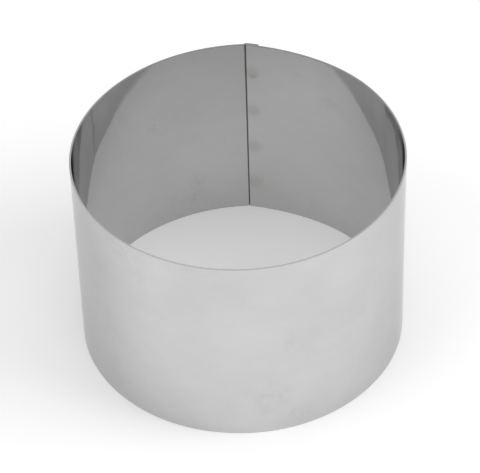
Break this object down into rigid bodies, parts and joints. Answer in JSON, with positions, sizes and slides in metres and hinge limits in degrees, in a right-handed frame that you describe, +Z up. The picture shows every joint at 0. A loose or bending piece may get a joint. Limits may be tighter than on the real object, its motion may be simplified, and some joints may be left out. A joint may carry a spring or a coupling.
{
  "type": "pastry ring",
  "caption": "Open-ended round sheet-steel ring for cutting, baking and plating pastry, rolled from one strip and closed by a spot-welded lap seam.",
  "frame": {"origin": "centre of the round bore, on the plane that the ring stands on", "axes": "+Z up along the bore, +Y to the start of the lap seam's joggle"},
  "size_m": [0.089, 0.091, 0.06],
  "materials": {
    "rolled_steel": "cold-rolled stainless sheet, satin outside and brighter inside, edges deburred"
  },
  "bodies": {
    "root": {"ring": "rolled_steel"}
  },
  "joints": []
}
